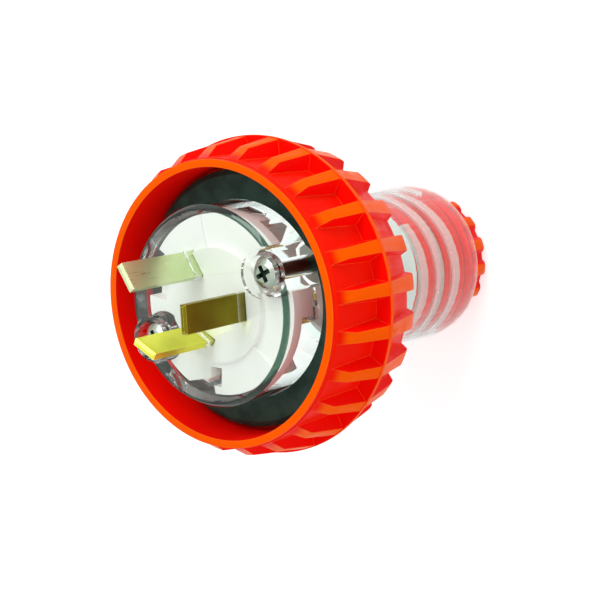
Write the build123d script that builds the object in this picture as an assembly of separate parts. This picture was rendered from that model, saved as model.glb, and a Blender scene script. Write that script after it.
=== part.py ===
from build123d import *

import os
from math import cos, radians, sin

# Weatherproof three-pin screw-lock plug, standing on its gland nut with the pins up.
# Millimetres. +Z runs along the plug's axis towards the pins, +X towards the earth pin.
# The origin is the centre of the gland nut's end face, which is what the plug stands on.

# Flat pins of the AS/NZS 3112 pattern
blade_width = 6.35
blade_thickness = 1.63
live_pin_length = 17.06
earth_pin_length = 19.94
live_pin_radius = 7.92
earth_pin_radius = 10.31
live_pin_angle = 120.0
pin_tip_chamfer = 0.5
tang_width = 3.0

# Clearances
slot_clearance = 0.10
fixed_clearance = 0.10
running_clearance = 0.30
thread_clearance = 0.30
screw_hole_clearance = 0.20
screw_thread_clearance = 0.05

# Axial stack, from the end that the plug stands on to the pin face
grip_length = 7.2
housing_length = 64.3
body_seal_thickness = 1.0
barrel_length = 17.2

# Clear front barrel
barrel_radius = 22.6
barrel_wall = 2.0
front_plate_thickness = 3.2
barrel_edge_round = 0.8
channel_width = 8.0
flange_gap = 1.0
flange_thickness = 3.0
snap_lug_depth = 0.6
snap_lug_height = 1.0

# Screw bosses in the barrel and the screws that hold the two clear halves together
boss_inset = 4.4
boss_radius = 5.3
boss_stand = 1.0
boss_angles = (85.0, -95.0)
screw_head_radius = 3.3
screw_head_height = 2.2
screw_head_dome = 1.0
screw_seat_gap = 0.8
screw_shank_radius = 1.75
screw_length = 27.0
screw_recess_below_boss = 1.0
recess_width = 1.1
recess_length = 3.9
recess_depth = 1.6
insert_radius = 2.6
insert_length = 8.0
housing_column_radius = 4.4
column_floor = 2.0

# Rubber gasket on the floor of the channel round the barrel
gasket_thickness = 2.0
gasket_setback = 0.2
gasket_edge_drop = 0.8
gasket_edge_width = 1.2

# Orange locking ring, which turns between the barrel flange and the housing collar
ring_front_setback = 2.9
ring_rim_wall = 1.7
ring_rim_width = 1.0
ring_floor_wall = 2.0
ring_ridge_height = 4.0
ring_ridge_setback = 15.3
ring_ridge_width = 0.9
ring_valley_depth = 2.2
ring_length = 28.4
ring_tail_drop = 2.6
ring_tail_wall = 3.2
shoulder_thickness = 3.0
rib_count = 24
rib_phase = 4.0
rib_tip_width = 3.4
rib_width = 5.0
rib_tail_width = 4.6
rib_tail_overhang = 1.3
rib_tail_round = 1.3
rib_shoulder_drop = 1.6
rib_rise_length = 4.4
rib_below_ridge = 0.25
rib_taper = 12.0
rib_sink = 1.2

# Clear rear housing with the cable chamber and the gland bore
neck_step = 0.4
neck_wall = 2.6
collar_width = 3.0
collar_thickness = 3.0
housing_radius = 20.0
housing_waist_radius = 18.8
housing_rim_round = 3.0
housing_wall = 2.6
taper_length = 11.0
neck_length = 8.0
chamber_length = 26.0
seal_web_thickness = 3.0
seal_web_hole_radius = 10.5

# Gland nut, washer and cable seal
stem_radius = 16.3
stem_thread_depth = 1.4
stem_thread_pitch = 7.0
stem_thread_turns = 2.7
stem_thread_start_angle = 110.0
stem_thread_start_gap = 0.4
stem_thread_crest_width = 2.5
stem_thread_root_width = 3.9
stem_wall = 1.6
grip_lobe_count = 16
grip_lobe_phase = 6.0
grip_core_radius = 15.3
grip_lobe_radius = 2.0
grip_lobe_centre_radius = 14.9
grip_valley_round = 0.6
grip_edge_round = 1.2
nut_end_wall = 4.0
cable_hole_radius = 7.5
washer_thickness = 1.6
washer_hole_radius = 8.0
seal_length = 10.0
seal_hole_radius = 5.0
seal_nose_length = 3.0
seal_nose_radius = 13.4

# White carrier behind the clear front plate
carrier_clearance = 0.30
carrier_hub_inset = 7.7
carrier_hub_step = 0.8
carrier_thickness = 4.3
sector_start_angle = -163.0
sector_sweep = 143.0
sector_depth = 0.7
barrier_angles = (60.0, 180.0, 300.0)
barrier_thickness = 1.6
barrier_length = 9.5
tab_angles = (47.5, -47.5, 116.5, -116.5)
tab_sweep = 23.0
tab_wall = 1.8
tab_length = 4.0

# Cut-outs in the carrier's disc: angle, first depth from the rim, last depth, side shift and width
carrier_cut_outs = (
    (48.5, 0.0, 5.2, 0.0, 5.2),
    (27.0, 0.0, 1.9, 0.0, 2.6),
    (158.0, 0.0, 4.2, -9.7, 9.0),
    (143.5, 1.7, 6.0, 0.0, 3.2),
)

# Brass terminal blocks and their clamp screws
terminal_inner_radius = 5.6
terminal_outer_radius = 15.4
terminal_width = 6.4
terminal_turn = 8.0
terminal_length = 11.0
pin_tail_depth = 3.0
wire_hole_radius = 1.9
wire_hole_depth = 7.0
wire_hole_centre_radius = 10.4
clamp_screw_rise = 3.4
clamp_shank_radius = 1.4
clamp_head_radius = 2.3
clamp_head_height = 1.6
clamp_stand_off = 0.8
clamp_slot_width = 0.7
clamp_slot_depth = 0.8

# Levels and radii worked out from the sizes above
housing_base_z = grip_length + running_clearance
housing_top_z = housing_base_z + housing_length
barrel_base_z = housing_top_z + body_seal_thickness
front_z = barrel_base_z + barrel_length
flange_top_z = barrel_base_z + flange_thickness
plate_back_z = front_z - front_plate_thickness
boss_top_z = front_z + boss_stand
screw_seat_z = boss_top_z - screw_recess_below_boss - screw_head_height
screw_tip_z = screw_seat_z - screw_length
carrier_back_z = plate_back_z - carrier_thickness
tab_base_z = carrier_back_z - tab_length
terminal_base_z = carrier_back_z - terminal_length
ring_front_z = front_z - ring_front_setback
ridge_front_z = ring_front_z - ring_ridge_setback
ridge_back_z = ridge_front_z - ring_ridge_width
ring_back_z = ring_front_z - ring_length
shoulder_top_z = barrel_base_z - running_clearance
shoulder_base_z = shoulder_top_z - shoulder_thickness
collar_top_z = shoulder_base_z - running_clearance
collar_base_z = collar_top_z - collar_thickness
neck_base_z = housing_top_z - neck_length
taper_base_z = neck_base_z - taper_length
web_top_z = housing_top_z - chamber_length
web_base_z = web_top_z - seal_web_thickness
seal_base_z = web_base_z - seal_length
washer_base_z = seal_base_z - washer_thickness
barrel_bore_radius = barrel_radius - barrel_wall
boss_centre_radius = barrel_radius - boss_inset
ring_bore_radius = barrel_radius + channel_width
flange_radius = ring_bore_radius - flange_gap
gasket_radius = flange_radius - gasket_setback
ring_rim_radius = ring_bore_radius + ring_rim_wall
ring_floor_radius = ring_bore_radius + ring_floor_wall
ring_ridge_radius = ring_floor_radius + ring_ridge_height
ring_valley_radius = ring_ridge_radius - ring_valley_depth
ring_tail_radius = ring_valley_radius - ring_tail_drop
ring_tail_bore_radius = ring_tail_radius - ring_tail_wall
rib_shoulder_radius = ring_ridge_radius - rib_shoulder_drop
neck_radius = barrel_radius + neck_step
collar_radius = neck_radius + collar_width
carrier_radius = barrel_bore_radius - carrier_clearance
carrier_hub_radius = barrel_bore_radius - carrier_hub_inset
stem_root_radius = stem_radius - stem_thread_depth
stem_hollow_radius = stem_root_radius - stem_wall
stem_thread_start_z = grip_length + stem_thread_start_gap + stem_thread_root_width / 2
gland_bore_radius = stem_radius + thread_clearance
fixed_in_bore_radius = gland_bore_radius - fixed_clearance
shank_hole_radius = screw_shank_radius + screw_hole_clearance
insert_top_z = housing_top_z - fixed_clearance
insert_base_z = insert_top_z - insert_length


def turned(points):
    """Solid of revolution about the Z axis from (radius, height) points."""
    outline = Polyline([(r, 0, z) for r, z in points], close=True)
    return revolve(make_face(outline), Axis.Z)


def tube(outer, inner, low, high):
    """Plain round tube between two heights."""
    return turned([(inner, low), (outer, low), (outer, high), (inner, high)])


def post(radius, low, high, centre_radius=0.0, angle=0.0):
    """Round post parallel to the axis, placed by polar position."""
    spot = Pos(centre_radius * cos(radians(angle)), centre_radius * sin(radians(angle)), low)
    return spot * Cylinder(radius, high - low, align=(Align.CENTER, Align.CENTER, Align.MIN))


def bar(size_x, size_y, low, high, centre_radius=0.0, angle=0.0):
    """Rectangular bar parallel to the axis; size_x is radial and size_y tangential."""
    block = Box(size_x, size_y, high - low, align=(Align.CENTER, Align.CENTER, Align.MIN))
    return Rot(0, 0, angle) * Pos(centre_radius, 0, low) * block


def sector(outer, inner, low, high, middle_angle, sweep):
    """Part of a tube, centred on one angle."""
    outline = Polyline([(inner, 0, low), (outer, 0, low), (outer, 0, high), (inner, 0, high)], close=True)
    part_tube = revolve(make_face(outline), Axis.Z, revolution_arc=sweep)
    return Rot(0, 0, middle_angle - sweep / 2) * part_tube


def pin_places():
    """Name, length, radial or tangential blade, pin radius, pin angle and terminal angle."""
    terminal_angle = live_pin_angle + terminal_turn
    return (
        ("earth", earth_pin_length, True, earth_pin_radius, 0.0, 0.0),
        ("active", live_pin_length, False, live_pin_radius, live_pin_angle, terminal_angle),
        ("neutral", live_pin_length, False, live_pin_radius, -live_pin_angle, -terminal_angle),
    )


def blade_bar(width, gap, is_radial, low, high, radius, angle):
    """Flat blade section between two heights, widened all round by a gap."""
    wide = width + 2 * gap
    thin = blade_thickness + 2 * gap
    if is_radial:
        return bar(wide, thin, low, high, radius, angle)
    return bar(thin, wide, low, high, radius, angle)


def pin_slots(low, high):
    """Slots that clear all three pins between two heights."""
    return [
        blade_bar(blade_width, slot_clearance, is_radial, low, high, radius, angle)
        for _, _, is_radial, radius, angle, _ in pin_places()
    ]


def front_barrel():
    """Clear cup with the pin face, the base flange and the two screw bosses."""
    shell = turned([
        (0, front_z),
        (barrel_radius - barrel_edge_round, front_z),
        (barrel_radius, front_z - barrel_edge_round),
        (barrel_radius, flange_top_z),
        (flange_radius, flange_top_z),
        (flange_radius, barrel_base_z),
        (barrel_bore_radius, barrel_base_z),
        (barrel_bore_radius, plate_back_z),
        (0, plate_back_z),
    ])
    bosses = [post(boss_radius, barrel_base_z, boss_top_z, boss_centre_radius, a) for a in boss_angles]
    lugs = [
        sector(barrel_bore_radius + barrel_wall / 2, barrel_bore_radius - snap_lug_depth,
               tab_base_z - snap_lug_height, tab_base_z, a, tab_sweep / 2)
        for a in tab_angles
    ]
    head_room = screw_head_radius + screw_seat_gap
    holes = [post(shank_hole_radius, barrel_base_z, boss_top_z, boss_centre_radius, a) for a in boss_angles]
    seats = [post(head_room, screw_seat_z, boss_top_z, boss_centre_radius, a) for a in boss_angles]
    return shell + bosses + lugs - holes - seats - pin_slots(plate_back_z, front_z)


def channel_gasket():
    """Flat rubber ring on the flange, with a sloping outer edge."""
    inner = barrel_radius + fixed_clearance
    top = flange_top_z + gasket_thickness
    ring = turned([
        (inner, flange_top_z),
        (gasket_radius, flange_top_z),
        (gasket_radius, top - gasket_edge_drop),
        (gasket_radius - gasket_edge_width, top),
        (inner, top),
    ])
    notch = boss_radius + fixed_clearance
    return ring - [post(notch, flange_top_z, top, boss_centre_radius, a) for a in boss_angles]


def body_seal():
    """Flat seal between the two clear halves, with an eye round each screw."""
    outer = neck_radius - fixed_clearance
    inner = barrel_bore_radius + fixed_clearance
    ring = tube(outer, inner, housing_top_z, barrel_base_z)
    eyes = [
        post(housing_column_radius, housing_top_z, barrel_base_z, boss_centre_radius, a)
        & tube(outer, 0, housing_top_z, barrel_base_z)
        for a in boss_angles
    ]
    holes = [
        post(shank_hole_radius, housing_top_z, barrel_base_z, boss_centre_radius, a) for a in boss_angles
    ]
    return ring + eyes - holes


def pin(length, is_radial, radius, angle):
    """Flat brass blade with a chamfered tip and a narrow tang for the terminal block."""
    blade = blade_bar(blade_width, 0, is_radial, carrier_back_z, front_z + length, radius, angle)
    tip = blade.faces().sort_by(Axis.Z)[-1]
    blade = chamfer(tip.edges(), pin_tip_chamfer)
    tang_base_z = carrier_back_z - pin_tail_depth
    return blade + blade_bar(tang_width, 0, is_radial, tang_base_z, carrier_back_z, radius, angle)


def terminal_block():
    """Plain tunnel block on the X axis: wire hole from below, clamp thread from the side."""
    middle = (terminal_inner_radius + terminal_outer_radius) / 2
    length = terminal_outer_radius - terminal_inner_radius
    block = bar(length, terminal_width, terminal_base_z, carrier_back_z, middle)
    wire = post(wire_hole_radius, terminal_base_z, terminal_base_z + wire_hole_depth, wire_hole_centre_radius)
    thread = Pos(wire_hole_centre_radius, 0, terminal_base_z + clamp_screw_rise) * Rot(0, 90, 0) * Cylinder(
        clamp_shank_radius + screw_thread_clearance, terminal_outer_radius,
        align=(Align.CENTER, Align.CENTER, Align.MIN))
    return block - wire - thread


def terminal(is_radial, radius, pin_angle, block_angle):
    """Brass terminal with the slot that takes its pin's tang."""
    slot_base_z = carrier_back_z - pin_tail_depth
    slot = blade_bar(tang_width, fixed_clearance, is_radial, slot_base_z, carrier_back_z, radius, pin_angle)
    return Rot(0, 0, block_angle) * terminal_block() - slot


def clamp_screw(angle):
    """Slotted terminal screw, backed off so that a wire can be pushed in."""
    head_seat = terminal_outer_radius + clamp_stand_off
    tip = wire_hole_centre_radius + wire_hole_radius / 2
    base = (Align.CENTER, Align.CENTER, Align.MIN)
    shank = Cylinder(clamp_shank_radius, head_seat - tip, align=base)
    head = Pos(0, 0, head_seat - tip) * Cylinder(clamp_head_radius, clamp_head_height, align=base)
    slot_z = head_seat - tip + clamp_head_height - clamp_slot_depth
    slot = Pos(0, 0, slot_z) * Box(clamp_slot_width, 2 * clamp_head_radius, clamp_slot_depth, align=base)
    screw = shank + head - slot
    height = terminal_base_z + clamp_screw_rise
    return Rot(0, 0, angle) * Pos(tip, 0, height) * Rot(0, 90, 0) * screw


def carrier_cut_out(angle, first_depth, last_depth, side, width):
    """Tool for one cut-out, measured inwards from the carrier's rim; depth 0 leaves the rim open."""
    inner = carrier_radius - last_depth
    outer = carrier_radius - first_depth if first_depth else barrel_radius
    tool = Box(outer - inner, width, front_z - carrier_back_z, align=(Align.MIN, Align.CENTER, Align.MIN))
    return Rot(0, 0, angle) * Pos(inner, side, carrier_back_z) * tool


def pin_carrier():
    """White moulding behind the clear face: disc, raised hub, barriers and snap tabs."""
    rim_top = plate_back_z - carrier_hub_step
    disc = turned([
        (0, carrier_back_z),
        (carrier_radius, carrier_back_z),
        (carrier_radius, rim_top),
        (carrier_hub_radius, rim_top),
        (carrier_hub_radius, plate_back_z),
        (0, plate_back_z),
    ])
    recess = sector(barrel_radius, carrier_hub_radius, rim_top - sector_depth, front_z,
                    sector_start_angle + sector_sweep / 2, sector_sweep)
    root_z = carrier_back_z + carrier_thickness / 2
    barrier_base_z = carrier_back_z - barrier_length
    barrier_reach = carrier_radius - barrier_thickness
    barriers = [
        bar(barrier_reach, barrier_thickness, barrier_base_z, root_z, barrier_reach / 2, a)
        for a in barrier_angles
    ]
    tab_radius = carrier_radius - fixed_clearance
    tabs = [sector(tab_radius, tab_radius - tab_wall, tab_base_z, root_z, a, tab_sweep) for a in tab_angles]
    boss_room = boss_radius + carrier_clearance
    cuts = [post(boss_room, barrier_base_z, front_z, boss_centre_radius, a) for a in boss_angles]
    windows = [carrier_cut_out(*place) for place in carrier_cut_outs]
    return disc + barriers + tabs - recess - cuts - windows - pin_slots(tab_base_z, front_z)


def face_screw(angle):
    """Cross-recessed pan-head screw through the boss into the insert."""
    head_top = screw_seat_z + screw_head_height
    body = turned([
        (0, screw_tip_z),
        (screw_shank_radius, screw_tip_z),
        (screw_shank_radius, screw_seat_z),
        (screw_head_radius, screw_seat_z),
        (screw_head_radius, head_top - screw_head_dome),
        (screw_head_radius - screw_head_dome, head_top - screw_head_dome / 4),
        (recess_length / 2, head_top),
        (0, head_top),
    ])
    slots = [bar(recess_length, recess_width, head_top - recess_depth, head_top, 0, a) for a in (0, 90)]
    return Rot(0, 0, angle) * Pos(boss_centre_radius, 0, 0) * (body - slots)


def brass_insert(angle):
    """Threaded brass sleeve in the housing column."""
    sleeve = tube(insert_radius, screw_shank_radius + screw_thread_clearance, insert_base_z, insert_top_z)
    return Rot(0, 0, angle) * Pos(boss_centre_radius, 0, 0) * sleeve


def housing_outline():
    """Outside of the rear housing as a solid of revolution."""
    return turned([
        (0, housing_base_z),
        (housing_radius - housing_rim_round / 2, housing_base_z),
        (housing_radius - housing_rim_round / 6, housing_base_z + housing_rim_round / 2),
        (housing_radius, housing_base_z + 2 * housing_rim_round),
        (housing_waist_radius, taper_base_z),
        (neck_radius, neck_base_z),
        (neck_radius, collar_base_z),
        (collar_radius, collar_base_z),
        (collar_radius, collar_top_z),
        (neck_radius, collar_top_z),
        (neck_radius, housing_top_z),
        (0, housing_top_z),
    ])


def rear_housing():
    """Clear tube with the ring's collar, screw columns, cable chamber, seal web and gland bore."""
    outside = housing_outline()
    chamber = turned([
        (0, web_top_z),
        (housing_waist_radius - housing_wall, web_top_z),
        (housing_waist_radius - housing_wall, taper_base_z),
        (neck_radius - neck_wall, neck_base_z),
        (neck_radius - neck_wall, housing_top_z),
        (0, housing_top_z),
    ])
    bore = post(gland_bore_radius, housing_base_z, web_base_z)
    web_hole = post(seal_web_hole_radius, web_base_z, web_top_z)
    column_base_z = min(insert_base_z, screw_tip_z) - column_floor
    columns = [
        post(housing_column_radius, column_base_z, housing_top_z, boss_centre_radius, a) & outside
        for a in boss_angles
    ]
    sleeve_room = insert_radius + fixed_clearance / 2
    sleeve_holes = [
        post(sleeve_room, insert_base_z, housing_top_z, boss_centre_radius, a) for a in boss_angles
    ]
    tip_holes = [
        post(shank_hole_radius, screw_tip_z - fixed_clearance, insert_base_z, boss_centre_radius, a)
        for a in boss_angles
    ]
    return outside - chamber - bore - web_hole + columns - sleeve_holes - tip_holes


def ring_body():
    """Turned part of the locking ring: rim, bore, shoulder, ridge and tail skirt."""
    return turned([
        (ring_bore_radius, ring_front_z),
        (ring_rim_radius, ring_front_z),
        (ring_rim_radius, ring_front_z - ring_rim_width),
        (ring_floor_radius, ring_front_z - ring_rim_width - ring_floor_radius + ring_rim_radius),
        (ring_floor_radius, ridge_front_z),
        (ring_ridge_radius, ridge_front_z),
        (ring_ridge_radius, ridge_back_z),
        (ring_valley_radius, ridge_back_z - rib_sink / 2),
        (ring_tail_radius, ring_back_z),
        (ring_tail_bore_radius, ring_back_z),
        (ring_tail_bore_radius, shoulder_base_z),
        (neck_radius + running_clearance, shoulder_base_z),
        (neck_radius + running_clearance, shoulder_top_z),
        (ring_bore_radius, shoulder_top_z),
    ])


def ring_rib():
    """One grip rib: slanted front end, full height at the ridge, rounded tail."""
    root = ring_tail_radius - running_clearance
    front = ring_front_z - ring_rim_width
    tail = ring_back_z - rib_tail_overhang
    face = Plane(origin=(root, 0, 0), x_dir=(0, 1, 0), z_dir=(1, 0, 0))
    outline = Polyline([
        (-rib_tip_width / 2, front),
        (-rib_width / 2, ridge_front_z),
        (-rib_tail_width / 2, tail),
        (rib_tail_width / 2, tail),
        (rib_width / 2, ridge_front_z),
        (rib_tip_width / 2, front),
    ], close=True)
    sketch = make_face(outline)
    sketch = fillet(sketch.vertices().group_by(Axis.Y)[0], rib_tail_round)
    height = ring_ridge_radius - root
    block = extrude(face * sketch, amount=height, taper=rib_taper)
    crest = ring_ridge_radius - rib_below_ridge
    envelope = turned([
        (root, front),
        (ring_rim_radius, front),
        (rib_shoulder_radius, front - rib_rise_length),
        (crest, ridge_front_z),
        (crest, ridge_back_z),
        (ring_tail_radius + rib_tail_width / 2, tail + rib_tail_width / 2),
        (ring_tail_radius + rib_sink, tail),
        (root, tail),
    ])
    return block & envelope


def locking_ring():
    """Screw ring with its internal shoulder and the ribbed grip."""
    rib = ring_rib()
    pitch = 360 / rib_count
    ribs = [Rot(0, 0, rib_phase + pitch * k) * rib for k in range(rib_count)]
    return ring_body() + ribs


def cable_seal():
    """Rubber sleeve that the nut squeezes onto the cable."""
    return turned([
        (seal_hole_radius, seal_base_z),
        (fixed_in_bore_radius, seal_base_z),
        (fixed_in_bore_radius, web_base_z - seal_nose_length),
        (seal_nose_radius, web_base_z),
        (seal_hole_radius, web_base_z),
    ])


def thrust_washer():
    """Slip washer between the seal and the nut's stem."""
    return tube(stem_root_radius, washer_hole_radius, washer_base_z, seal_base_z)


def stem_thread():
    """Coarse right-hand thread ridge, wound round the stem from just above the grip."""
    root_face = stem_root_radius - stem_wall / 4
    outline = Polyline([
        (root_face, 0, -stem_thread_root_width / 2),
        (stem_radius, 0, -stem_thread_crest_width / 2),
        (stem_radius, 0, stem_thread_crest_width / 2),
        (root_face, 0, stem_thread_root_width / 2),
    ], close=True)
    path = Helix(stem_thread_pitch, stem_thread_pitch * stem_thread_turns, stem_root_radius)
    ridge = sweep(make_face(outline), path=path, is_frenet=True)
    return Rot(0, 0, stem_thread_start_angle) * Pos(0, 0, stem_thread_start_z) * ridge


def gland_nut():
    """Cup-shaped nut: lobed grip, threaded tubular stem and an end wall with the cable hole."""
    lobe_places = PolarLocations(grip_lobe_centre_radius, grip_lobe_count, start_angle=grip_lobe_phase)
    plan = Circle(grip_core_radius) + lobe_places * Circle(grip_lobe_radius)
    plan = fillet(plan.vertices(), grip_valley_round)
    tip_radius = grip_lobe_centre_radius + grip_lobe_radius
    envelope = turned([
        (0, 0),
        (tip_radius - grip_edge_round, 0),
        (tip_radius - grip_edge_round / 4, grip_edge_round / 2),
        (tip_radius, grip_edge_round),
        (tip_radius, grip_length - grip_edge_round / 2),
        (tip_radius - grip_edge_round / 2, grip_length),
        (0, grip_length),
    ])
    grip = extrude(plan, amount=grip_length) & envelope
    stem = post(stem_root_radius, grip_length - nut_end_wall / 2, washer_base_z)
    hollow = post(stem_hollow_radius, nut_end_wall, washer_base_z)
    return grip + stem + stem_thread() - hollow - post(cable_hole_radius, 0, nut_end_wall)


def all_nodes():
    """Every piece of the plug by its name."""
    nodes = {
        "front_barrel": front_barrel(),
        "channel_gasket": channel_gasket(),
        "body_seal": body_seal(),
        "pin_carrier": pin_carrier(),
        "rear_housing": rear_housing(),
        "locking_ring": locking_ring(),
        "cable_seal": cable_seal(),
        "thrust_washer": thrust_washer(),
        "gland_nut": gland_nut(),
    }
    for name, length, is_radial, radius, angle, block_angle in pin_places():
        nodes[name + "_pin"] = pin(length, is_radial, radius, angle)
        nodes[name + "_terminal"] = terminal(is_radial, radius, angle, block_angle)
        nodes[name + "_terminal_screw"] = clamp_screw(block_angle)
    for side, angle in zip(("left", "right"), boss_angles):
        nodes[side + "_face_screw"] = face_screw(angle)
        nodes[side + "_insert"] = brass_insert(angle)
    return nodes


os.makedirs("parts", exist_ok=True)
for node, shape in all_nodes().items():
    export_step(shape, "parts/" + node + ".step")
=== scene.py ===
from math import cos, pi, radians, sin

import bpy
from bpy.props import FloatProperty, FloatVectorProperty, IntProperty, PointerProperty
from bpy.types import Operator, Panel, PropertyGroup
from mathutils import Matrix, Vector


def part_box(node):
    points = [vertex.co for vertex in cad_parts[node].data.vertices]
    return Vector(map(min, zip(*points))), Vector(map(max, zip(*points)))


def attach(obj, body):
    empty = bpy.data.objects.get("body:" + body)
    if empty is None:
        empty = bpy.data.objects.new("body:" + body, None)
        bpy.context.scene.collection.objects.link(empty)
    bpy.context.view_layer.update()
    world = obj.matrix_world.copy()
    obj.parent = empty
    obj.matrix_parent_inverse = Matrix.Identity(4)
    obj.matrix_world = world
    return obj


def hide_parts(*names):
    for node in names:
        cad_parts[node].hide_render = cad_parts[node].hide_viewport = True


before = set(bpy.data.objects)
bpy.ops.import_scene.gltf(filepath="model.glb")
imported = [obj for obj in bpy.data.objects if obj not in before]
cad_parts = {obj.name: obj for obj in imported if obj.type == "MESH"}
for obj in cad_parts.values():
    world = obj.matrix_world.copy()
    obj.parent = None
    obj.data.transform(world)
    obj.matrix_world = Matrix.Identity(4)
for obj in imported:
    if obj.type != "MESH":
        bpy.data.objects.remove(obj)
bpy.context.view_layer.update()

bl_info = {
    "name": "Screw-lock plug",
    "version": (1, 0, 0),
    "blender": (4, 5, 0),
    "location": "View3D > Sidebar > Plug",
    "description": "Dresses the packed plug with its mouldings, threads, finishes and stage",
    "category": "Object",
}

MM = 0.001

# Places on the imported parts, in metres. The plug stands on its nut, with its pins up.
RING_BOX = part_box("locking_ring")
RING_FRONT = RING_BOX[1].z
RIM_RADIUS = 32.3 * MM
BARREL_FRONT = 90.0 * MM
BARREL_EDGE_RADIUS = 21.1 * MM
BORE_RADIUS = 16.6 * MM
STEM_ROOT_RADIUS = 14.9 * MM
SCREW_RECESS_LEVEL = 88.7 * MM

# Centres of the two screw bosses in the barrel's face, and how far each one reaches
BOSS_CIRCLE_RADIUS = 18.2 * MM
BOSS_REACH = 5.6 * MM
BOSSES = [
    (BOSS_CIRCLE_RADIUS * cos(angle), BOSS_CIRCLE_RADIUS * sin(angle), BARREL_FRONT)
    for angle in (radians(85.0), radians(-95.0))
]

# Level and half width of each painted shade line round the housing, where its wall steps
PAINTED_STEP_LINES = [
    (level * MM, half * MM)
    for level, half in ((34.9, 0.5), (25.0, 0.8), (15.6, 0.15), (11.6, 0.25))
]

# Radii over which the painted shade red of the hollows turns to the lit orange of the raised
# parts
RING_SHADE_RADII = (32.9 * MM, 34.2 * MM)
NUT_SHADE_RADII = (16.2 * MM, 16.7 * MM)

# Radii beyond which the clear skins are polished
BARREL_POLISH_RADIUS = 21.8 * MM
HOUSING_POLISH_RADIUS = 17.6 * MM

# How much each plastic bends the light
PLASTIC_IOR = 1.5
BARREL_IOR = 1.10
HOUSING_IOR = 1.09
THREAD_IOR = 1.2

# The thread ridge in the housing's bore
RIDGE_CREST_WIDTH = 1.8 * MM
RIDGE_ROOT_WIDTH = 3.2 * MM
RIDGE_WALL_GAP = 0.02 * MM
RIDGE_START = (radians(-40.0), 10.13 * MM)
RIDGE_TURNS = 2.90
FLANK_SLOPE = 0.3

# Mesh work
MERGE_DISTANCE = 0.002 * MM
FLAT_ANGLE = radians(0.5)
SHARP_ANGLE = radians(35.0)
BEVEL_SEGMENTS = 2

# Shader nodes stand this far apart, in rows of this many
NODE_SPACING = (220, -260)
NODES_IN_ROW = 9

# Colours of the finishes that are not settings
# Paler orange on sharp edges: wear, and a painted edge highlight.
WORN_HIGHLIT_ORANGE = (1.0, 0.26, 0.05, 1.0)
STAINED_ORANGE = (0.6, 0.02, 0.0, 1.0)
ORANGE_GLOSS = (1.0, 0.35, 0.10, 1.0)
CLEAR_SHADOW = (0.96, 0.98, 0.97, 1.0)
# Dark green on the barrel wall's front end: painted shade for the wall seen end on.
PAINTED_END_SHADE_GREEN = (0.003, 0.022, 0.010, 1.0)
# Teal in lines round the housing where its wall steps: painted shade.
PAINTED_STEP_SHADE_TEAL = (0.45, 0.80, 0.72, 1.0)
# Grey towards the silhouette of the polished clear skin: painted shade.
PAINTED_SILHOUETTE_GREY = (0.30, 0.44, 0.40, 1.0)
# Pale thread faces in the bore: the crest and front flank whitened, a painted reflection; the
# back flank teal, painted shade.
CREST_CLEAR = (1.0, 1.0, 1.0, 1.0)
FRONT_FLANK_PAINTED_WHITE = (0.94, 1.0, 0.98, 1.0)
BACK_FLANK_PAINTED_TEAL = (0.78, 0.98, 0.92, 1.0)
CARRIER_STAIN = (0.90, 0.92, 0.84, 1.0)
WASHER_WHITE = (0.82, 0.82, 0.78, 1.0)
WASHER_STAIN = (0.7, 0.7, 0.66, 1.0)
GASKET_DUST = (0.035, 0.10, 0.075, 1.0)
SEAL_WHITE = (0.80, 0.84, 0.80, 1.0)
SEAL_DUST = (0.72, 0.78, 0.74, 1.0)
# Near black green in the screws' recesses: painted shade.
RECESS_PAINTED_SHADE = (0.03, 0.07, 0.045, 1.0)
# Bright brass on the pins' edges: wear, and a painted edge highlight.
BRIGHT_BRASS = (1.0, 0.92, 0.18, 1.0)
NO_DIRECTION = (1.0, 1.0, 1.0)

# Each metal finish, with the CAD nodes that get it
METALS = (
    ("earth_pin_plating", ("earth_pin",), {
        "colour": (0.70, 0.82, 0.46, 1.0),
        "tarnish": (0.58, 0.72, 0.36, 1.0),
        "bright": (0.92, 0.97, 0.80, 1.0),
        "roughness": 0.22,
    }),
    ("active_pin_brass", ("active_pin",), {
        "colour": (0.86, 0.86, 0.09, 1.0),
        "tarnish": (0.58, 0.62, 0.05, 1.0),
        "bright": BRIGHT_BRASS,
        "roughness": 0.26,
    }),
    # The neutral pin's brass is much darker than the active pin's: a painted dark reflection, a
    # shaded copy of the same brass, with tarnish patches.
    ("neutral_pin_brass", ("neutral_pin",), {
        "colour": (0.20, 0.17, 0.008, 1.0),
        "tarnish": (0.15, 0.10, 0.006, 1.0),
        "bright": BRIGHT_BRASS,
        "roughness": 0.30,
    }),
    ("terminal_brass", (
        "earth_terminal", "active_terminal", "neutral_terminal", "left_insert", "right_insert",
    ), {
        "colour": (0.62, 0.45, 0.14, 1.0),
        "tarnish": (0.42, 0.30, 0.10, 1.0),
        "bright": (0.85, 0.70, 0.30, 1.0),
        "roughness": 0.3,
    }),
    ("face_screw_plating", ("left_face_screw", "right_face_screw"), {
        "colour": (0.52, 0.60, 0.50, 1.0),
        "tarnish": (0.26, 0.34, 0.27, 1.0),
        "bright": (0.95, 0.97, 0.93, 1.0),
        "roughness": 0.24,
        "tarnish_share": 0.7,
        "along": NO_DIRECTION,
        # Painted shade in the screw's recess, below this level.
        "painted_shade_below": SCREW_RECESS_LEVEL,
    }),
    ("clamp_screw_plating", (
        "earth_terminal_screw", "active_terminal_screw", "neutral_terminal_screw",
    ), {
        "colour": (0.75, 0.78, 0.74, 1.0),
        "tarnish": (0.5, 0.56, 0.5, 1.0),
        "bright": (0.95, 0.95, 0.93, 1.0),
        "roughness": 0.2,
        "along": NO_DIRECTION,
    }),
)

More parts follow.
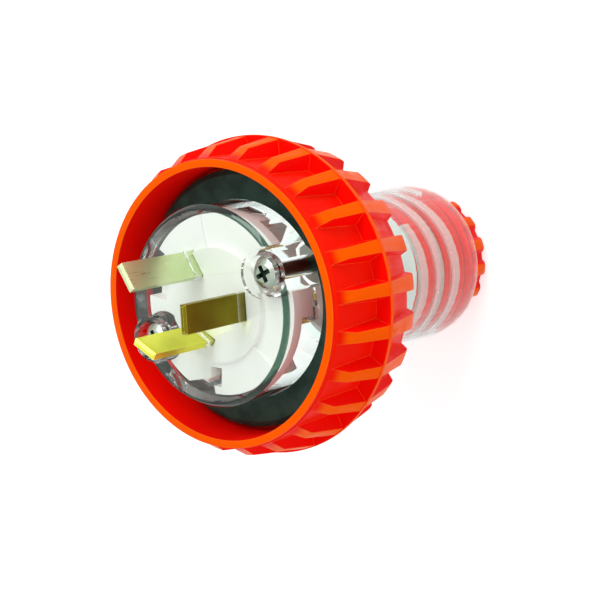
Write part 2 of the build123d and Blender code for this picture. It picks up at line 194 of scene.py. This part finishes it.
# Stage
FLOOR_SIZE = 6.0
FLOOR_GLOW = 0.54
WHITE = (1.0, 1.0, 1.0, 1.0)
BACKDROP_STRENGTH = 1.0
LAMP_TARGET = (0.0, 0.0, 0.06)
KEY_LAMP_PLACE = (0.58, -0.38, 0.60)
KEY_LAMP_SIZE = 0.50
FILL_LAMP_PLACE = (-0.72, -0.42, 0.30)
FILL_LAMP_SIZE = 0.60
SENSOR_WIDTH = 36.0
CLIP_START = 0.01


# Selection and mesh helpers

def clear_selection():
    """Leave nothing selected and no object active."""
    bpy.ops.object.select_all(action="DESELECT")
    bpy.context.view_layer.objects.active = None


def make_active(piece):
    """Select one object alone and make it the active one."""
    clear_selection()
    piece.select_set(True)
    bpy.context.view_layer.objects.active = piece


def apply_modifiers(piece):
    """Turn every modifier of a piece into its mesh."""
    make_active(piece)
    for modifier in list(piece.modifiers):
        bpy.ops.object.modifier_apply(modifier=modifier.name)


def smooth(piece):
    """Shade round faces smooth and keep sharp corners."""
    make_active(piece)
    bpy.ops.object.shade_smooth_by_angle(angle=SHARP_ANGLE)


def merged_copy(node, name):
    """A copy of a CAD node's mesh with its loose triangles joined."""
    piece = bpy.data.objects.new(name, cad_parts[node].data.copy())
    bpy.context.scene.collection.objects.link(piece)
    make_active(piece)
    bpy.ops.mesh.customdata_custom_splitnormals_clear()
    bpy.ops.object.mode_set(mode="EDIT")
    bpy.ops.mesh.select_mode(type="VERT")
    bpy.ops.mesh.select_all(action="SELECT")
    bpy.ops.mesh.remove_doubles(threshold=MERGE_DISTANCE)
    bpy.ops.mesh.dissolve_limited(angle_limit=FLAT_ANGLE)
    bpy.ops.object.mode_set(mode="OBJECT")
    return piece


def soften(piece, width):
    """Round the sharp edges of a moulding."""
    bevel = piece.modifiers.new("soft_edges", "BEVEL")
    bevel.width = width
    bevel.segments = BEVEL_SEGMENTS
    bevel.limit_method = "ANGLE"
    bevel.angle_limit = SHARP_ANGLE
    bevel.use_clamp_overlap = True
    apply_modifiers(piece)


def moulding(node, name, edge_round):
    """A copy of a CAD node with its sharp edges rounded and its round faces smooth."""
    piece = merged_copy(node, name)
    soften(piece, edge_round)
    smooth(piece)
    return piece


def finish_piece(piece, materials, body, slot_name, *nodes):
    """Give a piece its finishes, its body and the CAD nodes that it stands for."""
    piece.data.materials.clear()
    for material in materials:
        piece.data.materials.append(material)
    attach(piece, body)
    if nodes:
        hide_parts(*nodes)


def dress(material, *nodes):
    """Put a finish on CAD nodes through their own material slots."""
    for node in nodes:
        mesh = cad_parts[node].data
        mesh.materials.clear()
        mesh.materials.append(material)


# Shader helpers

def fill(tree, node, inputs):
    """Fill a shader node's inputs with values, or with the sockets of other nodes."""
    for key, value in inputs.items():
        if isinstance(value, bpy.types.NodeSocket):
            tree.links.new(value, node.inputs[key])
        else:
            node.inputs[key].default_value = value


def put(tree, kind, inputs=None, **settings):
    """Add a shader node, set its options and fill its inputs."""
    node = tree.nodes.new("ShaderNode" + kind)
    row, column = divmod(len(tree.nodes), NODES_IN_ROW)
    node.location = (NODE_SPACING[0] * column, NODE_SPACING[1] * row)
    for key, value in settings.items():
        setattr(node, key, value)
    fill(tree, node, inputs or {})
    return node


def calculate(tree, operation, *values):
    """Add one Math node and give its output."""
    return put(tree, "Math", dict(enumerate(values)), operation=operation).outputs[0]


def calculate_vector(tree, operation, *values):
    """Add one Vector Math node and give the output that its operation fills."""
    node = put(tree, "VectorMath", dict(enumerate(values)), operation=operation)
    is_number = operation in ("DISTANCE", "DOT_PRODUCT", "LENGTH")
    return node.outputs["Value" if is_number else "Vector"]


def ramp_between(tree, value, low, high, start=0.0, end=1.0):
    """Smoothly map a value from one span to another."""
    inputs = dict(enumerate((value, low, high, start, end)))
    return put(tree, "MapRange", inputs, interpolation_type="SMOOTHSTEP").outputs[0]


def blend_colour(tree, factor, first, second):
    """Mix two colours."""
    return put(tree, "Mix", {0: factor, 6: first, 7: second}, data_type="RGBA").outputs[2]


def new_group(name, outputs, **values):
    """An empty shader group with a Vector input, the named float inputs and float outputs."""
    group = bpy.data.node_groups.new(name, "ShaderNodeTree")
    sockets = group.interface
    sockets.new_socket(name="Vector", in_out="INPUT", socket_type="NodeSocketVector")
    for label, value in values.items():
        socket = sockets.new_socket(name=label, in_out="INPUT", socket_type="NodeSocketFloat")
        socket.default_value = value
    for label in outputs:
        sockets.new_socket(name=label, in_out="OUTPUT", socket_type="NodeSocketFloat")
    source = group.nodes.new("NodeGroupInput")
    sink = group.nodes.new("NodeGroupOutput")
    return group, source.outputs, sink


def grain_group():
    """Fine moulded grain: a height and a slow patchiness."""
    group, given, sink = new_group("moulded_grain", ["Height", "Patches"], Scale=600.0)
    fine = put(group, "TexNoise", {
        "Vector": given["Vector"], "Scale": given["Scale"], "Detail": 3.0, "Roughness": 0.6,
    })
    slow_scale = calculate(group, "MULTIPLY", given["Scale"], 0.12)
    slow = put(group, "TexNoise", {"Vector": given["Vector"], "Scale": slow_scale, "Detail": 4.0})
    patches = ramp_between(group, slow.outputs[0], 0.35, 0.65)
    fill(group, sink, {"Height": fine.outputs[0], "Patches": patches})
    return group


def scratch_group():
    """Thin hairline scratches in two directions."""
    group, given, sink = new_group("hairline_scratches", ["Mask"], Scale=300.0)
    masks = []
    for turn, stretch in ((0.6, (0.06, 1.0, 1.0)), (2.1, (1.0, 0.05, 0.6))):
        turned = put(group, "Mapping", {
            "Vector": given["Vector"], "Rotation": (turn, turn / 2, turn), "Scale": stretch,
        })
        lines = put(group, "TexNoise", {
            "Vector": turned.outputs[0], "Scale": given["Scale"], "Detail": 2.0,
        })
        masks.append(ramp_between(group, lines.outputs[0], 0.66, 0.72))
    fill(group, sink, {"Mask": calculate(group, "MAXIMUM", *masks)})
    return group


def worn_highlit_edge_group():
    """Mask that is bright along sharp outer corners, with gaps in it, for wear and a painted edge
    highlight.
    """
    group, given, sink = new_group("worn_highlit_edges", ["Mask"], Radius=0.4 * MM)
    rounded = put(group, "Bevel", {"Radius": given["Radius"]}, samples=4).outputs[0]
    flat = put(group, "NewGeometry").outputs["Normal"]
    agreement = calculate_vector(group, "DOT_PRODUCT", rounded, flat)
    edge = ramp_between(group, agreement, 0.99, 0.85)
    breakup = put(group, "TexNoise", {"Vector": given["Vector"], "Scale": 900.0, "Detail": 3.0})
    gaps = ramp_between(group, breakup.outputs[0], 0.3, 0.6, 0.35, 1.0)
    fill(group, sink, {"Mask": calculate(group, "MULTIPLY", edge, gaps)})
    return group


GROUP_MAKERS = {"grain": grain_group, "scratches": scratch_group, "edges": worn_highlit_edge_group}
GROUPS = {}


def place_group(tree, name, **inputs):
    """Put a shared group into a material with its own values, building it at its first use."""
    if name not in GROUPS:
        GROUPS[name] = GROUP_MAKERS[name]()
    return put(tree, "Group", inputs, node_tree=GROUPS[name])


def new_material(name):
    """An empty node material and its tree."""
    material = bpy.data.materials.new(name)
    material.use_nodes = True
    material.node_tree.nodes.clear()
    return material, material.node_tree


def close_material(tree, shader):
    """Join a shader to the material's output."""
    put(tree, "OutputMaterial", {"Surface": shader.outputs[0]})


def place_on_piece(tree):
    """Object coordinates, distance from the plug's axis and height along it."""
    where = put(tree, "TexCoord").outputs["Object"]
    parts = put(tree, "SeparateXYZ", {0: where})
    flat = put(tree, "CombineXYZ", {0: parts.outputs[0], 1: parts.outputs[1]})
    return where, calculate_vector(tree, "LENGTH", flat.outputs[0]), parts.outputs[2]


def roughness_from(tree, base, smudges, scratches, spread=0.12, scuffing=0.2):
    """Roughness that varies with smudges and scratches."""
    smudged = calculate(tree, "MULTIPLY_ADD", smudges, spread, base)
    return calculate(tree, "MULTIPLY_ADD", scratches, scuffing, smudged)


def moulded_skin(tree, where, grain_scale, scratch_scale, roughness, relief,
                 depth=0.05 * MM, relief_from="Height", **wear):
    """Stain patches, roughness and bumped normal of a moulded surface."""
    grain = place_group(tree, "grain", Vector=where, Scale=grain_scale)
    lines = place_group(tree, "scratches", Vector=where, Scale=scratch_scale)
    patches = grain.outputs["Patches"]
    rough = roughness_from(tree, roughness, patches, lines.outputs["Mask"], **wear)
    bump = put(tree, "Bump", {
        "Height": grain.outputs[relief_from], "Strength": relief, "Distance": depth,
    })
    return patches, rough, bump.outputs[0]


# Finishes

def orange_plastic(name, lit_orange, shade_red, shade_radii, lit_front=None):
    """Moulded orange plastic with painted shade: it goes to a deeper red on flanks and in
    hollows.

    Lit front gives a level and a radius: above the one and inside the other it is orange too, as
    painted light.
    """
    material, tree = new_material(name)
    where, radius, height = place_on_piece(tree)
    normal = put(tree, "TexCoord").outputs["Normal"]
    sideways = calculate_vector(tree, "MULTIPLY", where, (1.0, 1.0, 0.0))
    outward = calculate_vector(tree, "NORMALIZE", sideways)
    facing = calculate_vector(tree, "DOT_PRODUCT", outward, normal)
    # Painted light and shade: orange on crests and outward faces, as if lit, and deep red on
    # flanks and in hollows, as if shaded.
    orange = calculate(tree, "MULTIPLY", ramp_between(tree, radius, *shade_radii, 0.05, 1.0),
                       ramp_between(tree, facing, 0.45, 0.9))
    # Painted light: the front face near the ring's mouth is orange, as if lit.
    if lit_front:
        level, reach = lit_front
        front = ramp_between(tree, height, level - 0.3 * MM, level - 0.1 * MM)
        inside = ramp_between(tree, radius, reach + 0.3 * MM, reach + 0.1 * MM)
        orange = calculate(tree, "MAXIMUM", orange, calculate(tree, "MULTIPLY", front, inside))
    patches, rough, bumped = moulded_skin(tree, where, 1400.0, 420.0, roughness=0.30, relief=0.06)
    edges = place_group(tree, "edges", Vector=where, Radius=0.35 * MM).outputs["Mask"]
    body = blend_colour(tree, orange, shade_red, lit_orange)
    # Paler edges: wear, and a painted edge highlight.
    worn_and_highlit = blend_colour(tree, calculate(tree, "MULTIPLY", edges, 0.5), body, WORN_HIGHLIT_ORANGE)
    stain = calculate(tree, "MULTIPLY", patches, 0.05)
    shader = put(tree, "BsdfPrincipled", {
        "Base Color": blend_colour(tree, stain, worn_and_highlit, STAINED_ORANGE),
        "Roughness": rough, "Normal": bumped, "IOR": PLASTIC_IOR,
        "Specular IOR Level": 0.05, "Specular Tint": ORANGE_GLOSS,
    })
    close_material(tree, shader)
    return material


def let_light_in(tree, shader):
    """Make a clear shader see-through for shadows and for light on its way to what is inside."""
    through = put(tree, "BsdfTransparent", {0: CLEAR_SHADOW})
    path = put(tree, "LightPath").outputs
    passing = calculate(tree, "MAXIMUM", path["Is Shadow Ray"], path["Is Diffuse Ray"])
    return put(tree, "MixShader", {0: passing, 1: shader.outputs[0], 2: through.outputs[0]})


def clear_plastic(name, tint, ior, polish_radius, edge=None, bosses=(), steps=()):
    """Clear moulded plastic that lets the lamps reach what is inside.

    Beyond the polish radius the skin shines. Edge gives the front's level, which shines too,
    and a radius beyond which the wall's end is painted dark green: painted shade for the wall
    seen end on. Bosses are points in that front that stay clear of it. Steps are levels, with
    a half width, of painted shade lines round the skin where the wall steps. Towards its
    silhouette the polished skin is painted grey: painted shade.
    """
    material, tree = new_material(name)
    where, radius, height = place_on_piece(tree)
    _, rough, bumped = moulded_skin(
        tree, where, 500.0, 260.0, roughness=0.0, relief=0.10,
        relief_from="Patches", spread=0.01, scuffing=0.06)
    colour = tint
    polish = ramp_between(tree, radius, polish_radius - 0.2 * MM, polish_radius + 0.2 * MM)
    if edge:
        level, inner = edge
        front = ramp_between(tree, height, level - 0.5 * MM, level - 0.2 * MM)
        polish = calculate(tree, "MAXIMUM", polish, front)
        # Painted shade: the barrel wall's front end is darkened, except round the bosses.
        painted_end_shade = calculate(tree, "MULTIPLY",
                           ramp_between(tree, height, level - 1.0 * MM, level - 0.7 * MM),
                           ramp_between(tree, radius, inner, inner + 0.3 * MM))
        for centre in bosses:
            away = calculate_vector(tree, "DISTANCE", where, centre)
            outside = ramp_between(tree, away, BOSS_REACH, BOSS_REACH + 0.5 * MM)
            painted_end_shade = calculate(tree, "MULTIPLY", painted_end_shade, outside)
        colour = blend_colour(tree, painted_end_shade, tint, PAINTED_END_SHADE_GREEN)
    # Painted shade lines round the skin where the wall steps.
    for level, half in steps:
        off = calculate(tree, "ABSOLUTE", calculate(tree, "SUBTRACT", height, level))
        line = ramp_between(tree, off, half + 0.25 * MM, half)
        on_skin = calculate(tree, "MULTIPLY", line, polish)
        colour = blend_colour(tree, on_skin, colour, PAINTED_STEP_SHADE_TEAL)
    # Painted shade: the polished skin goes grey towards its silhouette.
    turned_away = put(tree, "LayerWeight", {"Blend": 0.5}).outputs["Facing"]
    painted_silhouette_shade = calculate(tree, "MULTIPLY", ramp_between(tree, turned_away, 0.50, 0.95), polish)
    glass = put(tree, "BsdfPrincipled", {
        "Base Color": blend_colour(tree, painted_silhouette_shade, colour, PAINTED_SILHOUETTE_GREY),
        "Roughness": rough, "Normal": bumped, "IOR": ior, "Transmission Weight": 1.0,
        "Coat Weight": polish, "Coat Roughness": 0.03, "Coat IOR": PLASTIC_IOR,
    })
    close_material(tree, let_light_in(tree, glass))
    return material


def painted_reflection_plastic(name, tint, clearness):
    """The same clear plastic made partly pale and opaque on the thread: painted reflection and
    painted shade.
    """
    material, tree = new_material(name)
    where, _, _ = place_on_piece(tree)
    _, rough, bumped = moulded_skin(tree, where, 900.0, 300.0, roughness=0.06, relief=0.15)
    shader = put(tree, "BsdfPrincipled", {
        "Base Color": tint, "Roughness": rough, "Normal": bumped,
        "IOR": THREAD_IOR, "Transmission Weight": clearness,
    })
    close_material(tree, let_light_in(tree, shader))
    return material


def white_plastic(name, colour, stain, roughness):
    """Opaque satin moulding with faint staining."""
    material, tree = new_material(name)
    where, _, _ = place_on_piece(tree)
    patches, rough, bumped = moulded_skin(tree, where, 900.0, 300.0, roughness, relief=0.05)
    stained = calculate(tree, "MULTIPLY", patches, 0.35)
    shader = put(tree, "BsdfPrincipled", {
        "Base Color": blend_colour(tree, stained, colour, stain),
        "Roughness": rough, "Normal": bumped, "IOR": PLASTIC_IOR,
    })
    close_material(tree, shader)
    return material


def rubber(name, colour, dust, roughness):
    """Matte rubber with a little dust on it."""
    material, tree = new_material(name)
    where, _, _ = place_on_piece(tree)
    patches, rough, bumped = moulded_skin(
        tree, where, 1800.0, 350.0, roughness, relief=0.15,
        depth=0.08 * MM, spread=0.1, scuffing=0.1)
    dusty = calculate(tree, "MULTIPLY", patches, 0.5)
    shader = put(tree, "BsdfPrincipled", {
        "Base Color": blend_colour(tree, dusty, colour, dust),
        "Roughness": rough, "Normal": bumped, "IOR": PLASTIC_IOR, "Specular IOR Level": 0.2,
    })
    close_material(tree, shader)
    return material


def drawn_metal(name, colour, tarnish, bright, roughness,
                tarnish_share=0.5, along=(1.0, 1.0, 0.04), painted_shade_below=None):
    """Metal with draw lines along its length, tarnish in patches and bright edges, for wear and a
    painted edge highlight.

    Below the given level, as in a screw's recess, it is painted dark: painted shade in the
    recess.
    """
    material, tree = new_material(name)
    where, _, height = place_on_piece(tree)
    patches = place_group(tree, "grain", Vector=where, Scale=1100.0).outputs["Patches"]
    scratches = place_group(tree, "scratches", Vector=where, Scale=600.0).outputs["Mask"]
    edges = place_group(tree, "edges", Vector=where, Radius=0.25 * MM).outputs["Mask"]
    stretched = put(tree, "Mapping", {"Vector": where, "Scale": along}).outputs[0]
    lines = put(tree, "TexNoise", {"Vector": stretched, "Scale": 3500.0, "Detail": 2.0})
    tarnished = calculate(tree, "MULTIPLY", patches, tarnish_share)
    aged = blend_colour(tree, tarnished, colour, tarnish)
    # Bright edges: wear, and a painted edge highlight.
    tone = blend_colour(tree, calculate(tree, "MULTIPLY", edges, 0.8), aged, bright)
    # Painted shade below the given level.
    if painted_shade_below:
        recess = ramp_between(tree, height, painted_shade_below + 0.3 * MM, painted_shade_below)
        tone = blend_colour(tree, recess, tone, RECESS_PAINTED_SHADE)
    rough = roughness_from(tree, roughness, lines.outputs[0], scratches, 0.15, 0.15)
    bump = put(tree, "Bump", {
        "Height": lines.outputs[0], "Strength": 0.12, "Distance": 0.03 * MM,
    })
    shader = put(tree, "BsdfPrincipled", {
        "Base Color": tone, "Metallic": 1.0, "Roughness": rough, "Normal": bump.outputs[0],
    })
    close_material(tree, shader)
    return material


# Settings

def colour_setting(name, description, default):
    """A colour that a user may change."""
    return FloatVectorProperty(
        name=name, description=description, size=4, default=default,
        min=0.0, max=1.0, subtype="COLOR")


class PlugSettings(PropertyGroup):
    """Sizes and colours of the dressed plug."""
    edge_round: FloatProperty(
        name="Edge round", description="Radius of the soft edges on the mouldings",
        default=0.25 * MM, min=0.0, max=1.0 * MM, subtype="DISTANCE", unit="LENGTH")
    thread_pitch: FloatProperty(
        name="Thread pitch", description="Rise of the gland thread in one turn",
        default=7.0 * MM, subtype="DISTANCE", unit="LENGTH")
    thread_clearance: FloatProperty(
        name="Thread clearance", description="Gap between the nut's thread and the housing's",
        default=0.3 * MM, subtype="DISTANCE", unit="LENGTH")
    thread_steps: IntProperty(
        name="Thread steps", description="Steps of the thread in one turn",
        default=64, min=12, max=128)
    # The ring's orange is its lit colour. Its red is painted shade on the flanks and between the
    # ribs.
    ring_orange: colour_setting(
        "Ring orange", "Colour of the ring's raised and end faces", (1.0, 0.105, 0.0, 1.0))
    ring_painted_shade_red: colour_setting(
        "Ring red", "Colour deep between the ring's ribs", (0.95, 0.003, 0.001, 1.0))
    clear_tint: colour_setting(
        "Clear tint", "Tint of the clear barrel", (0.97, 0.99, 0.98, 1.0))
    housing_tint: colour_setting(
        "Housing tint", "Tint of the rear housing", (0.90, 0.97, 0.95, 1.0))
    carrier_white: colour_setting(
        "Carrier white", "Colour of the moulding behind the clear face", (0.94, 0.95, 0.92, 1.0))
    gasket_black: colour_setting(
        "Gasket black", "Colour of the channel's gasket", (0.008, 0.035, 0.026, 1.0))


class StageSettings(PropertyGroup):
    """Camera, lamps and floor."""
    lens: FloatProperty(
        name="Lens", description="Focal length of the camera",
        default=99.58, min=20.0, max=300.0, unit="CAMERA")
    camera_place: FloatVectorProperty(
        name="Camera place", description="Where the camera stands", size=3,
        default=(-0.07837, -0.23205, 0.36127), subtype="TRANSLATION", unit="LENGTH")
    camera_turn: FloatVectorProperty(
        name="Camera turn", description="Turn of the camera about X, Y and Z", size=3,
        default=(radians(-10.315), radians(37.719), radians(-124.502)),
        subtype="EULER", unit="ROTATION")
    key_power: FloatProperty(
        name="Key power", description="Power of the main lamp in watts", default=3.8, min=0.0)
    fill_power: FloatProperty(
        name="Fill power", description="Power of the fill lamp in watts", default=0.9, min=0.0)
    sky_light: FloatProperty(
        name="Sky light", description="Strength of the light from all round",
        default=0.78, min=0.0, max=1.0)
    floor_white: colour_setting("Floor white", "Colour of the floor", (0.68, 0.68, 0.68, 1.0))


# Pieces

class PLUG_OT_locking_ring(Operator):
    """Dress the ribbed locking ring in orange plastic with soft edges"""
    bl_idname = "plug.locking_ring"
    bl_label = "Locking ring"

    def execute(self, context):
        settings = context.scene.plug_settings
        ring = moulding("locking_ring", "ring_moulding", settings.edge_round)
        plastic = orange_plastic("ring_plastic", tuple(settings.ring_orange),
                                 tuple(settings.ring_painted_shade_red), RING_SHADE_RADII, (RING_FRONT, RIM_RADIUS))
        finish_piece(ring, [plastic], "ring", "ring_orange", "locking_ring")
        return {"FINISHED"}


class PLUG_OT_gland_nut(Operator):
    """Dress the threaded gland nut in orange plastic"""
    bl_idname = "plug.gland_nut"
    bl_label = "Gland nut"

    def execute(self, context):
        settings = context.scene.plug_settings
        nut = moulding("gland_nut", "nut_moulding", settings.edge_round)
        plastic = orange_plastic("nut_plastic", tuple(settings.ring_orange),
                                 tuple(settings.ring_painted_shade_red), NUT_SHADE_RADII)
        finish_piece(nut, [plastic], "nut", "nut_orange", "gland_nut")
        return {"FINISHED"}


def helical_ridge(name, inner, outer, start, turns, pitch, steps):
    """A thread ridge closed at both ends.

    Inner and outer give a radius and a width each, and start an angle and a level.
    """
    clear_selection()
    bpy.ops.mesh.primitive_plane_add(size=1.0, location=(0, 0, 0), rotation=(pi / 2, 0, 0))
    ridge = bpy.context.active_object
    ridge.name = name
    bpy.ops.object.transform_apply(location=True, rotation=True, scale=True)
    for vertex in ridge.data.vertices:
        radius, width = outer if vertex.co.x > 0 else inner
        vertex.co = Vector((radius, 0, width / 2 if vertex.co.z > 0 else -width / 2))
    bpy.ops.object.mode_set(mode="EDIT")
    bpy.ops.mesh.select_all(action="SELECT")
    bpy.ops.mesh.delete(type="ONLY_FACE")
    bpy.ops.object.mode_set(mode="OBJECT")
    screw = ridge.modifiers.new("helix", "SCREW")
    screw.axis = "Z"
    screw.angle = 2 * pi * turns
    screw.screw_offset = pitch * turns
    screw.steps = int(steps * turns)
    screw.render_steps = int(steps * turns)
    apply_modifiers(ridge)
    bpy.ops.object.mode_set(mode="EDIT")
    bpy.ops.mesh.select_all(action="SELECT")
    bpy.ops.mesh.fill_holes(sides=4)
    bpy.ops.mesh.select_all(action="SELECT")
    bpy.ops.mesh.normals_make_consistent(inside=False)
    bpy.ops.object.mode_set(mode="OBJECT")
    angle, level = start
    ridge.location = (0, 0, level)
    ridge.rotation_euler = (0, 0, angle)
    make_active(ridge)
    bpy.ops.object.transform_apply(location=True, rotation=True, scale=True)
    return ridge


class PLUG_OT_clear_shells(Operator):
    """Dress the clear barrel, and the clear rear housing with the thread in its bore"""
    bl_idname = "plug.clear_shells"
    bl_label = "Clear shells"

    def execute(self, context):
        settings = context.scene.plug_settings
        edge_round = settings.edge_round / 2
        barrel = moulding("front_barrel", "barrel_moulding", edge_round)
        plastic = clear_plastic(
            "barrel_plastic", tuple(settings.clear_tint), BARREL_IOR, BARREL_POLISH_RADIUS,
            edge=(BARREL_FRONT, BARREL_EDGE_RADIUS), bosses=BOSSES)
        finish_piece(barrel, [plastic], "plug_body", "barrel_clear", "front_barrel")
        housing = moulding("rear_housing", "housing_moulding", edge_round)
        plastic = clear_plastic(
            "housing_plastic", tuple(settings.housing_tint), HOUSING_IOR, HOUSING_POLISH_RADIUS,
            steps=PAINTED_STEP_LINES)
        finish_piece(housing, [plastic], "plug_body", "housing_clear", "rear_housing")
        thread = helical_ridge(
            "bore_thread",
            inner=(STEM_ROOT_RADIUS + settings.thread_clearance, RIDGE_CREST_WIDTH),
            outer=(BORE_RADIUS - RIDGE_WALL_GAP, RIDGE_ROOT_WIDTH),
            start=RIDGE_START, turns=RIDGE_TURNS,
            pitch=settings.thread_pitch, steps=settings.thread_steps)
        smooth(thread)
        # The thread's front flank is painted white, a painted reflection, and its back flank
        # teal, painted shade.
        finish_piece(thread, [
            painted_reflection_plastic("thread_crest_plastic", CREST_CLEAR, 0.75),
            painted_reflection_plastic("thread_front_flank_painted_white", FRONT_FLANK_PAINTED_WHITE, 0.1),
            painted_reflection_plastic("thread_back_flank_painted_teal", BACK_FLANK_PAINTED_TEAL, 0.7),
        ], "plug_body", "housing_clear")
        for face in thread.data.polygons:
            if face.normal.z > FLANK_SLOPE:
                face.material_index = 1
            elif face.normal.z < -FLANK_SLOPE:
                face.material_index = 2
        return {"FINISHED"}


class PLUG_OT_carrier(Operator):
    """Dress the white carrier and the slip washer"""
    bl_idname = "plug.carrier"
    bl_label = "Carrier and washer"

    def execute(self, context):
        white = tuple(context.scene.plug_settings.carrier_white)
        dress(white_plastic("carrier_plastic", white, CARRIER_STAIN, 0.35), "pin_carrier")
        dress(white_plastic("washer_plastic", WASHER_WHITE, WASHER_STAIN, 0.5), "thrust_washer")
        return {"FINISHED"}


class PLUG_OT_seals(Operator):
    """Dress the rubber gasket and seals"""
    bl_idname = "plug.seals"
    bl_label = "Gasket and seals"

    def execute(self, context):
        black = tuple(context.scene.plug_settings.gasket_black)
        dress(rubber("gasket_rubber", black, GASKET_DUST, 0.5), "channel_gasket")
        dress(rubber("seal_rubber", SEAL_WHITE, SEAL_DUST, 0.5), "body_seal", "cable_seal")
        return {"FINISHED"}


class PLUG_OT_metal(Operator):
    """Dress the pins, terminals, inserts and screws"""
    bl_idname = "plug.metal"
    bl_label = "Pins, terminals and screws"

    def execute(self, context):
        for name, nodes, looks in METALS:
            dress(drawn_metal(name, **looks), *nodes)
        return {"FINISHED"}


# Stage

def seen_directly(tree):
    """1 for rays from the camera, from gloss and through glass."""
    path = put(tree, "LightPath").outputs
    sharp = calculate(tree, "MAXIMUM", path["Is Glossy Ray"], path["Is Transmission Ray"])
    return calculate(tree, "MAXIMUM", path["Is Camera Ray"], sharp)


def pale_floor(colour):
    """A matte floor that takes shadows and is seen as white."""
    clear_selection()
    bpy.ops.mesh.primitive_plane_add(size=FLOOR_SIZE, location=(0, 0, 0))
    floor = bpy.context.active_object
    floor.name = "floor"
    material, tree = new_material("floor_white")
    matte = put(tree, "BsdfDiffuse", {0: colour})
    strength = calculate(tree, "MULTIPLY", seen_directly(tree), FLOOR_GLOW)
    glow = put(tree, "Emission", {0: WHITE, 1: strength})
    close_material(tree, put(tree, "AddShader", {0: matte.outputs[0], 1: glow.outputs[0]}))
    floor.data.materials.append(material)
    return floor


def pale_room(sky_strength):
    """Even light from all round, in front of a white backdrop."""
    world = bpy.data.worlds.new("pale_room")
    world.use_nodes = True
    tree = world.node_tree
    tree.nodes.clear()
    sky = put(tree, "Background", {0: WHITE, 1: sky_strength})
    backdrop = put(tree, "Background", {0: WHITE, 1: BACKDROP_STRENGTH})
    mix = put(tree, "MixShader", {
        0: seen_directly(tree), 1: sky.outputs[0], 2: backdrop.outputs[0],
    })
    put(tree, "OutputWorld", {"Surface": mix.outputs[0]})
    return world


def area_lamp(name, place, size, power):
    """A soft square lamp aimed at the plug."""
    clear_selection()
    bpy.ops.object.light_add(type="AREA", location=place)
    lamp = bpy.context.active_object
    lamp.name = name
    lamp.data.size = size
    lamp.data.energy = power
    aim = Vector(LAMP_TARGET) - Vector(place)
    lamp.rotation_euler = aim.to_track_quat("-Z", "Y").to_euler()
    return lamp


def photo_camera(place, turn, lens):
    """The camera that sees the plug as the photograph does."""
    clear_selection()
    bpy.ops.object.camera_add(location=place, rotation=turn)
    camera = bpy.context.active_object
    camera.name = "photo_camera"
    camera.data.lens = lens
    camera.data.sensor_width = SENSOR_WIDTH
    camera.data.clip_start = CLIP_START
    return camera


class PLUG_OT_stage(Operator):
    """Set the floor, the soft lamps, the pale surroundings and the camera"""
    bl_idname = "plug.stage"
    bl_label = "Stage"

    def execute(self, context):
        scene = context.scene
        stage = scene.plug_stage
        floor = pale_floor(tuple(stage.floor_white))
        lamps = [
            area_lamp("key_lamp", KEY_LAMP_PLACE, KEY_LAMP_SIZE, stage.key_power),
            area_lamp("fill_lamp", FILL_LAMP_PLACE, FILL_LAMP_SIZE, stage.fill_power),
        ]
        scene.world = pale_room(stage.sky_light)
        scene.camera = photo_camera(
            tuple(stage.camera_place), tuple(stage.camera_turn), stage.lens)
        scene.view_settings.view_transform = "Standard"
        return {"FINISHED"}


class PLUG_PT_panel(Panel):
    """Buttons for the plug's pieces and stage"""
    bl_idname = "PLUG_PT_panel"
    bl_label = "Plug"
    bl_space_type = "VIEW_3D"
    bl_region_type = "UI"
    bl_category = "Plug"

    def draw(self, context):
        column = self.layout.column()
        for operator in PIECE_OPERATORS:
            column.operator(operator.bl_idname)
        for group in (context.scene.plug_settings, context.scene.plug_stage):
            for name in group.bl_rna.properties.keys():
                if name not in ("rna_type", "name"):
                    column.prop(group, name)


PIECE_OPERATORS = (
    PLUG_OT_locking_ring,
    PLUG_OT_gland_nut,
    PLUG_OT_clear_shells,
    PLUG_OT_carrier,
    PLUG_OT_seals,
    PLUG_OT_metal,
    PLUG_OT_stage,
)
CLASSES = (PlugSettings, StageSettings, *PIECE_OPERATORS, PLUG_PT_panel)


def register():
    """Make the classes and settings known to Blender."""
    for cls in CLASSES:
        bpy.utils.register_class(cls)
    bpy.types.Scene.plug_settings = PointerProperty(type=PlugSettings)
    bpy.types.Scene.plug_stage = PointerProperty(type=StageSettings)


def unregister():
    """Take the classes and settings out again."""
    del bpy.types.Scene.plug_stage
    del bpy.types.Scene.plug_settings
    for cls in reversed(CLASSES):
        bpy.utils.unregister_class(cls)


def main():
    """Build every piece and the stage."""
    register()
    for operator in PIECE_OPERATORS:
        group, name = operator.bl_idname.split(".")
        getattr(getattr(bpy.ops, group), name)()


if __name__ == "__main__":
    main()
